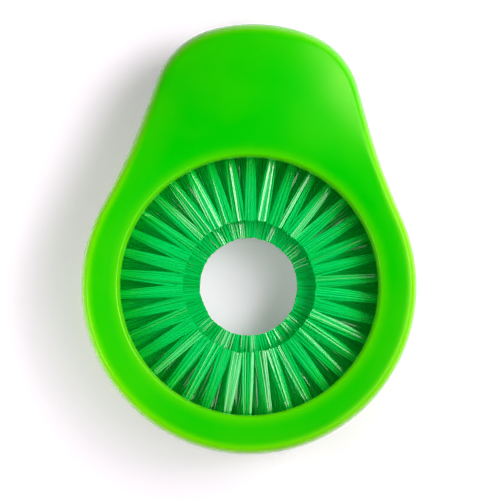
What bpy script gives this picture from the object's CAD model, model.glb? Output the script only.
import math
import random

import bmesh
import bpy
from mathutils import Matrix, Vector


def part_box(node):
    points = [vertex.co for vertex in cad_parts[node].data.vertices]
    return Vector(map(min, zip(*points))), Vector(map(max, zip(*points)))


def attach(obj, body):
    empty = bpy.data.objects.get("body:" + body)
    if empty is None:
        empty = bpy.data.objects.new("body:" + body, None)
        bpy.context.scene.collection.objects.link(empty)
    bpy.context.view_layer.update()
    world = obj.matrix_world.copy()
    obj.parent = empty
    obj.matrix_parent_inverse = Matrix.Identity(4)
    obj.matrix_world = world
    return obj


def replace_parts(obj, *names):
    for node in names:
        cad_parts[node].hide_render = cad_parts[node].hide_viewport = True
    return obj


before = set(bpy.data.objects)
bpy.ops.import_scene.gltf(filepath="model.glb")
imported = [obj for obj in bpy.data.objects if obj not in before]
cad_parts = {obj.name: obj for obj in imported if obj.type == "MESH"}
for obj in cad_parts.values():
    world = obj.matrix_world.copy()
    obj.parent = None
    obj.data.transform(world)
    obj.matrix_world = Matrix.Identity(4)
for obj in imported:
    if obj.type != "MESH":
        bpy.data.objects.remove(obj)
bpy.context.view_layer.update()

MM = 0.001

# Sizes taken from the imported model, in mm. The bristle ring's axis is upright, at y = AXIS_Y
strip_low, strip_high = (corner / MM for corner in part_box("carrier_strip"))
cover_low, cover_high = (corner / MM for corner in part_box("front_cover"))
AXIS_Y = (strip_low.y + strip_high.y) / 2
SEAM_Z = (strip_low.z + strip_high.z) / 2
FRONT_Z = cover_high.z
STRIP_LOW_Z = strip_low.z
STRIP_HIGH_Z = strip_high.z
RING_R = AXIS_Y - cover_low.y
HANDLE_LEN = cover_high.y - AXIS_Y      # from the axis to the end of the handle
GROOVE_R = (strip_high.x - strip_low.x) / 2 + 0.1

# Outline of the housing, in mm from the axis: ring, neck, straight side, shoulder and end
HOLE_R = 32.3
SIDE_ANGLE = math.radians(17.5)     # of the straight side, off the middle line
SIDE_INSET = 2.4        # how much nearer to the axis than the ring the straight side runs
NECK_R = 160.0
SHOULDER_R = 20.0
END_R = 41.0

# Section of the housing along a spoke, in mm
CREST_INSET = 6.5       # from the hole to the crest
FRONT_DISH = 0.1        # slope of the ring's face, from the crest to the hole
REAR_DISH = 0.05
DISH_EASE = 2.5         # width over which that slope begins
CROSS_FALL = 0.005      # across the handle, for each square mm off the middle line
CROSS_START = 24.0      # from the axis, where that fall starts
CROSS_WHOLE = 54.0      # and where it is whole
END_START = 38.0        # from the axis, where the crown starts to fall to the end
END_DROP = 3.0
EDGE_DROP = 0.3         # fall of the crown close to the rounded edge
EDGE_EASE = 3.5
EDGE_RUN = 5.5          # widest run of the rounding along the outline
EDGE_KEEP = 5.3         # distance that it keeps from the hole
EDGE_POWER = 3.2
RIM_RUN = 1.1           # rounding of the lip round the hole
RIM_DROP = 1.6
RIM_POWER = 2.2
SEAM_GROOVE = 0.25
GROOVE_HALF = 9.6       # half the width of the groove that holds the strip
FOOT_CUT = 0.4          # cut off the rear crown, so that it lies flat
SPOKES = 480
EDGE_ROWS = 26
CROWN_ROWS = 18
RIM_ROWS = 12

# Lime glow along the edges of the housing, where thin plastic lets light through
GLOW_RUN = 3.6          # mm from the outline and from the hole
GLOW_SPREAD = 16.0      # mm over which a faint part of it reaches further
GLOW_FAINT = 0.06
GLOW_WALL = 0.45        # share left on the side wall
GLOW_HOLE = 0.4         # share at the hole

# Bristles, in mm and degrees
TUFTS = 38
JOINT_ANGLE = -86.0     # where the ends of the strip meet
JOINT_GAP = 0.4
ROW_PITCH = 5.6         # between the rows of tufts
FACE_R = 34.2           # inner face of the strip
FACE_T = 1.2            # thickness of the strip's inner layer
OUTER_TIP_R = 16.75
MIDDLE_TIP_R = 12.45
RAGGED = 0.1            # spread of the tufts' lengths
STRANDS = 32            # in each tuft
STRAND_R = 0.24
STRAND_SUNK = 0.6       # depth of the roots in the strip
ROOT_HALF = 0.82        # half width of a tuft at its root
TIP_HALF_UP = 1.25      # half height of a tuft at its tips
LEAN = 0.12             # spread of the tufts' places at their tips
TIP_RAGGED = 0.06       # spread of the strands' lengths in a tuft
TIP_SIDE, TIP_UP = 0.09, 0.12       # spread of the strands' tips
BOW_SIDE, BOW_UP = 0.06, 0.10       # spread of the strands' bows
STRAY_SHARE = 0.05      # share of the strands that stray
STRAY_GAIN = 2.2        # how much further these spread
ROLL = 0.12             # spread of the strands' turns about themselves, in radians
TUFT_TONE = 0.4         # share of a strand's tone that its whole tuft has


# Shader helpers

class Value:
    """A socket, with the operators that the materials use."""

    def __init__(self, nodes, socket):
        self.nodes = nodes
        self.socket = socket

    def _math(self, operation, *others):
        return self.nodes.make("ShaderNodeMath", {"operation": operation}, [self, *others])

    def __add__(self, other):
        return self._math("ADD", other)

    __radd__ = __add__

    def __mul__(self, other):
        return self._math("MULTIPLY", other)

    __rmul__ = __mul__

    def __sub__(self, other):
        return self._math("SUBTRACT", other)

    def __rsub__(self, other):
        return self.nodes.make("ShaderNodeMath", {"operation": "SUBTRACT"}, [other, self])

    def __truediv__(self, other):
        return self._math("DIVIDE", other)

    def __pow__(self, other):
        return self._math("POWER", other)

    def ramp(self, low, high):
        """0 below low and 1 above high, with a smooth step between."""
        return self.nodes.make(
            "ShaderNodeMapRange", {"interpolation_type": "SMOOTHSTEP"},
            [self, low, high, 0.0, 1.0])


class Nodes:
    """Makes the nodes of one material, or of the world."""

    def __init__(self, owner, output="ShaderNodeOutputMaterial"):
        self.owner = owner
        self.output = output
        owner.use_nodes = True
        self.tree = owner.node_tree
        self.tree.nodes.clear()

    def make(self, kind, settings=None, inputs=None, output=0):
        """Adds a node: its settings first, then values or links by socket name or in order."""
        node = self.tree.nodes.new(kind)
        for key, value in (settings or {}).items():
            setattr(node, key, value)
        pairs = inputs.items() if isinstance(inputs, dict) else enumerate(inputs or [])
        for key, value in pairs:
            if isinstance(value, Value):
                self.tree.links.new(value.socket, node.inputs[key])
            else:
                node.inputs[key].default_value = value
        return Value(self, node.outputs[output]) if node.outputs else None

    def mix_color(self, factor, a, b):
        return self.make(
            "ShaderNodeMix", {"data_type": "RGBA"}, {0: factor, 6: a, 7: b}, output=2)

    def object_xyz(self):
        """The Object coordinates, whole and as x, y and z, in metres."""
        place = self.make("ShaderNodeTexCoord", output=3)
        split = self.make("ShaderNodeSeparateXYZ", inputs=[place]).socket.node
        return place, [Value(self, split.outputs[i]) for i in range(3)]

    def surface(self, shader):
        """Joins the shader to the output and gives back the material or the world."""
        self.make(self.output, inputs=[shader])
        return self.owner


def linear(red, green, blue):
    """A colour given in sRGB, 0 to 255, as linear values with alpha."""
    def channel(value):
        value /= 255
        return value / 12.92 if value <= 0.04045 else ((value + 0.055) / 1.055) ** 2.4
    return (channel(red), channel(green), channel(blue), 1.0)


# Housing

def unit(angle):
    """The plan direction at this angle from +X."""
    return Vector((math.cos(angle), math.sin(angle)))


def housing_arcs():
    """Centres of the shoulder and neck arcs, and the angles at which the stretches meet."""
    normal = unit(SIDE_ANGLE)
    along = Vector((-normal.y, normal.x))
    side = RING_R - SIDE_INSET
    end = Vector((0, HANDLE_LEN - END_R))
    off = side - SHOULDER_R - end.dot(normal)
    shoulder = normal * (side - SHOULDER_R)
    shoulder += along * (end.dot(along) + math.sqrt((END_R - SHOULDER_R) ** 2 - off ** 2))
    neck = normal * (side + NECK_R)
    neck += along * math.sqrt((RING_R + NECK_R) ** 2 - (side + NECK_R) ** 2)
    top = (shoulder - end).normalized() * END_R + end
    corners = [neck, neck - normal * NECK_R, shoulder + normal * SHOULDER_R, top]
    return shoulder, neck, end, [math.atan2(p.y, p.x) for p in corners]


SHOULDER_C, NECK_C, END_C, MEETS = housing_arcs()


def reach_to_circle(ray, centre, radius, far):
    """Distance along a ray to the near or the far side of a circle."""
    middle = ray.dot(centre)
    half = math.sqrt(middle ** 2 - centre.length_squared + radius ** 2)
    return middle + half if far else middle - half


def outline_reach(angle):
    """Distance from the axis to the outline along a ray at this angle from +X."""
    ray = unit(angle)
    ray.x = abs(ray.x)
    turn = math.atan2(ray.y, ray.x)
    if turn < MEETS[0]:
        return RING_R
    if turn < MEETS[1]:
        return reach_to_circle(ray, NECK_C, NECK_R, far=False)
    if turn < MEETS[2]:
        return (RING_R - SIDE_INSET) / ray.dot(unit(SIDE_ANGLE))
    if turn < MEETS[3]:
        return reach_to_circle(ray, SHOULDER_C, SHOULDER_R, far=True)
    return reach_to_circle(ray, END_C, END_R, far=True)


def ease(value, low, high):
    """0 below low and 1 above high, with a smooth step between."""
    part = min(max((value - low) / (high - low), 0.0), 1.0)
    return part * part * (3 - 2 * part)


def crown_drop(spot, inset, slope):
    """How far the crown lies below its highest level, at a plan point with its inset."""
    inward = max(HOLE_R + CREST_INSET - spot.length, 0.0)
    if inward < DISH_EASE:
        dish = slope * inward ** 2 / (2 * DISH_EASE)
    else:
        dish = slope * (inward - DISH_EASE / 2)
    across = CROSS_FALL * ease(spot.y, CROSS_START, CROSS_WHOLE) * spot.x ** 2
    end = END_DROP * max((spot.y - END_START) / (HANDLE_LEN - END_START), 0.0) ** 2
    edge = EDGE_DROP * max(1 - inset / EDGE_EASE, 0.0) ** 2
    return dish + across + end + edge


def crown_section(reach, ray, rise, slope):
    """Section along a spoke as (inset, height) rows, from the seam over the crest to the hole."""
    length = reach - HOLE_R
    keep = length - EDGE_KEEP
    run = EDGE_RUN * keep / (EDGE_RUN + keep)

    def crown(inset):
        return rise - crown_drop(ray * (reach - inset), inset, slope)

    points = [(SEAM_GROOVE, 0.0), (SEAM_GROOVE * 0.3, SEAM_GROOVE * 0.3)]
    for k in range(1, EDGE_ROWS + 1):
        turn = math.pi / 2 * k / EDGE_ROWS
        inset = run * (1 - math.cos(turn) ** (2 / EDGE_POWER)) if k < EDGE_ROWS else run
        points.append((inset, crown(inset) * math.sin(turn) ** (2 / EDGE_POWER)))
    for k in range(1, CROWN_ROWS + 1):
        inset = run + (length - RIM_RUN - run) * k / CROWN_ROWS
        points.append((inset, crown(inset)))
    for k in range(1, RIM_ROWS + 1):
        turn = math.pi / 2 * k / RIM_ROWS
        inset = length - RIM_RUN * (1 - math.sin(turn) ** (2 / RIM_POWER))
        height = math.cos(turn) ** (2 / RIM_POWER) if k < RIM_ROWS else 0.0
        points.append((inset, crown(inset) - RIM_DROP * (1 - height)))
    return points


def cover_section(reach, ray, rise, slope):
    """The crown's section, closed through the bore, the strip's groove and the seam face."""
    return crown_section(reach, ray, rise, slope) + [
        (reach - HOLE_R, GROOVE_HALF),
        (reach - GROOVE_R, GROOVE_HALF),
        (reach - GROOVE_R, 0.0),
    ]


def spin_rows(rows):
    """A closed ring of rows, spun round Z. Each vertex stands at the radius 1 + its row."""
    bm = bmesh.new()
    chain = [bm.verts.new((row + 1, 0, 0)) for row in range(rows)]
    edges = [bm.edges.new((chain[i], chain[(i + 1) % rows])) for i in range(rows)]
    bmesh.ops.spin(bm, geom=chain + edges, cent=(0, 0, 0), axis=(0, 0, 1),
                   angle=math.tau, steps=SPOKES, use_merge=True)
    return bm


def finish_piece(bm, name, material):
    """Makes a piece of closed forms whose faces all point one way, and points them outwards."""
    if bm.calc_volume(signed=True) < 0:
        bmesh.ops.reverse_faces(bm, faces=bm.faces)
    mesh = bpy.data.meshes.new(name)
    bm.to_mesh(mesh)
    bm.free()
    mesh.shade_smooth()
    mesh.set_sharp_from_angle(angle=math.radians(30))
    mesh.materials.append(material)
    piece = bpy.data.objects.new(name, mesh)
    bpy.context.scene.collection.objects.link(piece)
    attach(piece, "root")
    return piece


def glow_share(inset, from_hole, height):
    """Share of the lime glow. The height runs from 0 at the seam to 1 at the crest."""
    wall = GLOW_WALL + (1 - GLOW_WALL) * ease(height, 0.5, 0.9)
    outer = (1 - inset / GLOW_RUN) * wall
    hole = GLOW_HOLE * (1 - abs(from_hole) / GLOW_RUN)
    return ease(max(outer, hole), 0.0, 1.0) + GLOW_FAINT * (1 - ease(inset, 0.0, GLOW_SPREAD))


def cover(name, rise, slope, up, material):
    """One half of the housing. The rear one faces down and is cut flat where it rests."""
    rows = len(cover_section(RING_R, unit(0), rise, slope))
    bm = spin_rows(rows)
    glow = bm.verts.layers.float.new("glow_share")
    sections = {}
    for vert in bm.verts:
        row = round(vert.co.length) - 1
        angle = math.atan2(vert.co.y, vert.co.x)
        key = round(angle * SPOKES / math.tau)
        if key not in sections:
            reach = outline_reach(angle)
            sections[key] = (reach, cover_section(reach, unit(angle), rise, slope))
        reach, section = sections[key]
        inset, height = section[row]
        spot = unit(angle) * (reach - inset)
        z = max(SEAM_Z + up * height, 0.0)
        vert.co = Vector((spot.x, spot.y + AXIS_Y, z)) * MM
        vert[glow] = glow_share(inset, reach - HOLE_R - inset, height / rise)
    bmesh.ops.recalc_face_normals(bm, faces=bm.faces)
    piece = finish_piece(bm, name, material)
    return piece


# Bristles

def strand_template():
    """A five-sided bar one unit long with rings along it for its bend."""
    bm = bmesh.new()
    bmesh.ops.create_cone(bm, cap_ends=True, segments=5, radius1=1, radius2=1, depth=1)
    bmesh.ops.translate(bm, vec=(0, 0, 0.5), verts=bm.verts)
    for height in (0.1, 0.3, 0.6):
        bmesh.ops.bisect_plane(
            bm, geom=bm.verts[:] + bm.edges[:] + bm.faces[:],
            plane_co=(0, 0, height), plane_no=(0, 0, 1))
    bmesh.ops.recalc_face_normals(bm, faces=bm.faces)
    mesh = bpy.data.meshes.new("strand")
    bm.to_mesh(mesh)
    bm.free()
    return mesh


def disc_points(count, rng):
    """Points spread evenly over a unit disc, as a full bundle of strands lies."""
    golden = math.pi * (3 - math.sqrt(5))
    points = []
    for k in range(count):
        reach = math.sqrt((k + 0.5) / count)
        turn = k * golden + rng.uniform(-0.25, 0.25)
        points.append((reach * math.cos(turn), reach * math.sin(turn)))
    return points


def bristle_row(name, row_z, pitch_shift, tip_r, fan, flare, material, seed):
    """A ring of tufts at height row_z, shifted by a share of the pitch.

    fan is how much of its share of the tips' ring each tuft fills, and flare how far its
    strands swell apart between root and tip.
    """
    rng = random.Random(seed)
    template = strand_template()
    bm = bmesh.new()
    shade = bm.verts.layers.float.new("strand_shade")
    tip_half = math.pi * tip_r / TUFTS
    for tuft in range(TUFTS):
        angle = math.radians(JOINT_ANGLE + (pitch_shift + tuft) * 360 / TUFTS)
        out = Vector((math.cos(angle), math.sin(angle), 0))
        side = Vector((-out.y, out.x, 0))
        up = Vector((0, 0, 1))
        lean = rng.gauss(0, LEAN)
        lift = rng.gauss(0, LEAN)
        bundle_rolls = [rng.uniform(0, math.tau) for _ in range(4)]
        tuft_error = rng.gauss(0, RAGGED)
        tuft_tone = rng.random()
        for spot in disc_points(STRANDS, rng):
            strand_tip = tip_r + tuft_error + rng.gauss(0, TIP_RAGGED)
            root = out * (FACE_R + STRAND_SUNK)
            root += side * spot[0] * ROOT_HALF + up * spot[1] * ROOT_HALF
            stray = STRAY_GAIN if rng.random() < STRAY_SHARE else 1.0
            tip_side = spot[0] * tip_half * fan + lean + rng.gauss(0, TIP_SIDE) * stray
            tip_up = spot[1] * TIP_HALF_UP + lift + rng.gauss(0, TIP_UP) * stray
            tip = out * strand_tip + side * tip_side + up * tip_up
            bow_side = rng.gauss(0, BOW_SIDE) * stray
            bow_up = rng.gauss(0, BOW_UP) * stray
            tone = (1 - TUFT_TONE) * rng.random() + TUFT_TONE * tuft_tone
            bundle = int(spot[0] > 0) + 2 * int(spot[1] > 0)
            roll = bundle_rolls[bundle] + rng.gauss(0, ROLL)
            roll_cos, roll_sin = math.cos(roll), math.sin(roll)
            start = len(bm.verts)
            bm.from_mesh(template)
            bm.verts.ensure_lookup_table()
            for vert in bm.verts[start:]:
                t = vert.co.z
                bend = max(math.sin(math.pi * t), 0.0)
                centre = root.lerp(tip, t) + side * bow_side * bend + up * bow_up * bend
                centre += side * spot[0] * flare * math.sqrt(bend)
                x, y = vert.co.x, vert.co.y
                around = side * (x * roll_cos - y * roll_sin)
                around += up * (x * roll_sin + y * roll_cos)
                place = centre + around * STRAND_R
                vert.co = (place + Vector((0, AXIS_Y, row_z))) * MM
                vert[shade] = tone
    piece = finish_piece(bm, name, material)
    bpy.data.meshes.remove(template)
    return piece


def strip_face(material):
    """The strip's inner layer, that the tufts stand in, open at the joint."""
    bm = bmesh.new()
    inner, outer = FACE_R, FACE_R + FACE_T
    soft = 0.2              # chamfer of the two inner corners
    corners = [
        (inner, STRIP_LOW_Z + soft), (inner + soft, STRIP_LOW_Z), (outer, STRIP_LOW_Z),
        (outer, STRIP_HIGH_Z), (inner + soft, STRIP_HIGH_Z), (inner, STRIP_HIGH_Z - soft)]
    gap = JOINT_GAP / 2 / inner
    start = Matrix.Rotation(math.radians(JOINT_ANGLE) + gap, 3, "Z")
    chain = [bm.verts.new(start @ Vector((r, 0, z))) for r, z in corners]
    edges = [bm.edges.new((chain[i - 1], chain[i])) for i in range(len(chain))]
    bmesh.ops.spin(bm, geom=chain + edges, cent=(0, 0, 0), axis=(0, 0, 1),
                   angle=math.tau - 2 * gap, steps=6 * TUFTS)
    bmesh.ops.holes_fill(bm, edges=[e for e in bm.edges if e.is_boundary])
    bmesh.ops.recalc_face_normals(bm, faces=bm.faces)
    bmesh.ops.translate(bm, vec=(0, AXIS_Y, 0), verts=bm.verts)
    bmesh.ops.scale(bm, vec=(MM, MM, MM), verts=bm.verts)
    piece = finish_piece(bm, "strip_face", material)
    return piece


# Materials

def lime_plastic():
    """Glossy moulded plastic, brighter where its edges let light through, with a fine grain."""
    n = Nodes(bpy.data.materials.new("lime_plastic"))
    place, _ = n.object_xyz()
    share = n.make("ShaderNodeAttribute", {"attribute_name": "glow_share"}, output=2)
    cloud = n.make("ShaderNodeTexNoise", {}, {"Vector": place, "Scale": 45.0, "Detail": 2.0})
    glow = share + (cloud - 0.5) * 0.2
    fine = n.make("ShaderNodeTexNoise", {}, {"Vector": place, "Scale": 2600.0, "Detail": 3.0})
    relief = n.make("ShaderNodeBump", {}, {"Strength": 0.05, "Distance": 0.00002, "Height": fine})
    shader = n.make("ShaderNodeBsdfPrincipled", {}, {
        "Base Color": n.mix_color(glow, linear(0, 200, 0), linear(150, 250, 0)),
        "Roughness": 0.2 + cloud * 0.04,
        "IOR": 1.49,
        "Specular IOR Level": 0.3,
        "Specular Tint": (1.0, 1.0, 0.3, 1.0),
        "Subsurface Weight": 0.25,
        "Subsurface Radius": (0.4, 1.0, 0.1),
        "Subsurface Scale": 0.002,
        "Normal": relief,
    })
    return n.surface(shader)


def emerald_filament():
    """Clear green filament that shines and lets light through. It is yellower at the root."""
    n = Nodes(bpy.data.materials.new("emerald_filament"))
    tone = n.make("ShaderNodeAttribute", {"attribute_name": "strand_shade"}, output=2)
    _, (x, y, z) = n.object_xyz()
    y = y - AXIS_Y * MM
    reach = (x * x + y * y) ** 0.5 / MM
    root = reach.ramp(22.0, FACE_R)
    dark = n.mix_color(root, linear(0, 215, 85), linear(0, 200, 30))
    light = n.mix_color(root, linear(0, 248, 132), linear(10, 250, 60))
    gloss = n.make("ShaderNodeBsdfPrincipled", {}, {
        "Base Color": n.mix_color(tone, dark, light),
        "Roughness": 0.13,
        "IOR": 1.55,
        "Specular IOR Level": 1.0,
        "Emission Color": n.mix_color(root, linear(0, 62, 26), linear(0, 40, 10)),
        "Emission Strength": 1.0,
    })
    glow = n.make("ShaderNodeBsdfTranslucent", {}, {"Color": linear(0, 230, 95)})
    return n.surface(n.make("ShaderNodeMixShader", {}, [0.3, gloss, glow]))


def strip_plastic():
    """Semi-gloss moulded plastic, faintly clouded."""
    n = Nodes(bpy.data.materials.new("strip_plastic"))
    place, _ = n.object_xyz()
    cloud = n.make("ShaderNodeTexNoise", {}, {"Vector": place, "Scale": 300.0, "Detail": 3.0})
    shader = n.make("ShaderNodeBsdfPrincipled", {}, {
        "Base Color": n.mix_color(cloud * 0.25, linear(0, 160, 55), linear(0, 60, 20)),
        "Roughness": 0.35,
    })
    return n.surface(shader)


def anchor_wire():
    """Bright flat wire with a fine drawn grain."""
    n = Nodes(bpy.data.materials.new("anchor_wire"))
    place, _ = n.object_xyz()
    grain = n.make("ShaderNodeTexNoise", {}, {"Vector": place, "Scale": 3000.0})
    shader = n.make("ShaderNodeBsdfPrincipled", {}, {
        "Base Color": linear(200, 200, 196),
        "Metallic": 1.0,
        "Roughness": 0.25 + grain * 0.2,
    })
    return n.surface(shader)


def floor_white():
    """Takes the object's shadow near it, and fades to plain white further out.

    Near the object it has a little less green, which offsets the green light thrown on it.
    """
    n = Nodes(bpy.data.materials.new("floor_white"))
    _, (x, y, _) = n.object_xyz()
    far = ((x * x + y * y) ** 0.5).ramp(0.09, 0.35)
    rays = n.make("ShaderNodeLightPath").socket.node
    seen = Value(n, rays.outputs["Is Camera Ray"])
    for kind in ("Is Glossy Ray", "Is Transmission Ray"):
        seen = seen + Value(n, rays.outputs[kind])
    near_shade, far_shade = (0.9, 0.825, 0.9, 1.0), (0.9, 0.9, 0.9, 1.0)
    shade = n.make("ShaderNodeBsdfDiffuse", {}, {"Color": n.mix_color(far, near_shade, far_shade)})
    glow = n.make("ShaderNodeEmission", {}, {
        "Color": n.mix_color(far, (1.0, 0.86, 1.0, 1.0), (1.0, 1.0, 1.0, 1.0)),
        "Strength": seen * (0.25 + far * 0.75),
    })
    return n.surface(n.make("ShaderNodeAddShader", {}, [shade, glow]))


# The object

lime = lime_plastic()
emerald = emerald_filament()
strip_green = strip_plastic()

front = cover("front_shell", FRONT_Z - SEAM_Z, FRONT_DISH, 1, lime)
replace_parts(front, "front_cover")
rear = cover("rear_shell", SEAM_Z + FOOT_CUT, REAR_DISH, -1, lime)
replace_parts(rear, "rear_cover")

sectors = [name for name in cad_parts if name.startswith("bristle_sector_")]
rows = [    # name, height, shift by a share of the pitch, reach of the tips, fan, flare
    ("front_row_bristles", SEAM_Z + ROW_PITCH, 0.75, OUTER_TIP_R, 1.1, 0.1),
    ("middle_row_bristles", SEAM_Z, 0.25, MIDDLE_TIP_R, 1.5, 0.8),
    ("rear_row_bristles", SEAM_Z - ROW_PITCH, 0.75, OUTER_TIP_R, 1.1, 0.6),
]
for seed, row in enumerate(rows, start=1):
    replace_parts(bristle_row(*row, emerald, seed), *sectors)

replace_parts(strip_face(strip_green), *sectors)

wire = anchor_wire()
for name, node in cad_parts.items():
    if name.endswith("_anchors"):
        node.data.materials.clear()
        node.data.materials.append(wire)
    if name == "carrier_strip":
        node.data.materials.clear()
        node.data.materials.append(strip_green)


# Floor, lights and camera

def make_floor():
    bm = bmesh.new()
    bmesh.ops.create_grid(bm, x_segments=1, y_segments=1, size=1.5)
    mesh = bpy.data.meshes.new("floor")
    bm.to_mesh(mesh)
    bm.free()
    mesh.materials.append(floor_white())
    floor = bpy.data.objects.new("floor", mesh)
    bpy.context.scene.collection.objects.link(floor)


def softbox(name, azimuth, elevation, distance, side, power):
    """A square lamp that faces the origin, from azimuth degrees round from +X."""
    light = bpy.data.lights.new(name, "AREA")
    light.size = side
    light.energy = power
    lamp = bpy.data.objects.new(name, light)
    a, e = math.radians(azimuth), math.radians(elevation)
    direction = Vector((math.cos(a) * math.cos(e), math.sin(a) * math.cos(e), math.sin(e)))
    lamp.location = direction * distance
    lamp.rotation_euler = direction.to_track_quat("Z", "Y").to_euler()
    bpy.context.scene.collection.objects.link(lamp)


def make_world(side, top):
    """Dim walls all round and a darker ceiling, white to the camera alone."""
    world = bpy.data.worlds.new("studio")
    bpy.context.scene.world = world
    n = Nodes(world, "ShaderNodeOutputWorld")
    place = n.make("ShaderNodeTexCoord", output=0)
    height = n.make("ShaderNodeSeparateXYZ", inputs=[place], output=2)
    seen = n.make("ShaderNodeLightPath", output=0)
    strength = side - height.ramp(0.85, 0.985) * (side - top) + seen
    n.surface(n.make("ShaderNodeBackground", {}, {"Color": (1, 1, 1, 1), "Strength": strength}))


def make_camera():
    """Looks down the ring's axis from far off, with a small tilt and roll."""
    frame_width = 127.4             # mm across the image
    image = 500                     # pixels
    ring_px = (248.8, 286.9)        # where the ring's axis lies in the image
    roll = math.radians(2.48)
    tilt = math.radians(2.2)        # towards the direction (-0.3, -0.95) in plan
    distance = 600.0
    camera = bpy.data.cameras.new("camera")
    camera.sensor_width = 36.0
    camera.lens = 36.0 * distance / frame_width
    lean = Vector((-0.3, -0.95, 0)) * math.sin(tilt)
    back = (lean + Vector((0, 0, math.cos(tilt)))).normalized()
    right = Vector((math.cos(roll), math.sin(roll), 0))
    up = back.cross(right).normalized()
    right = up.cross(back)
    scale = frame_width / image
    across = (image / 2 - ring_px[0]) * scale
    upward = (ring_px[1] - image / 2) * scale
    spot = Vector((0, AXIS_Y, SEAM_Z)) + right * across + up * upward + back * distance
    holder = bpy.data.objects.new("camera", camera)
    turn = Matrix((right, up, back)).transposed().to_4x4()
    holder.matrix_world = Matrix.Translation(spot * MM) @ turn
    camera.clip_end = 10.0
    bpy.context.scene.collection.objects.link(holder)
    bpy.context.scene.camera = holder


make_floor()
make_world(side=0.06, top=0.003)
softbox("key", azimuth=0, elevation=63, distance=0.9, side=0.42, power=1.6)
softbox("side_right", azimuth=22, elevation=50, distance=0.9, side=0.36, power=3.6)
softbox("low_right", azimuth=-30, elevation=56, distance=0.9, side=0.6, power=1.8)
softbox("near_right", azimuth=48, elevation=40, distance=0.175, side=0.08, power=0.08)
softbox("near_left", azimuth=201, elevation=38, distance=0.178, side=0.08, power=0.11)
make_camera()

bpy.context.scene.view_settings.view_transform = "Standard"
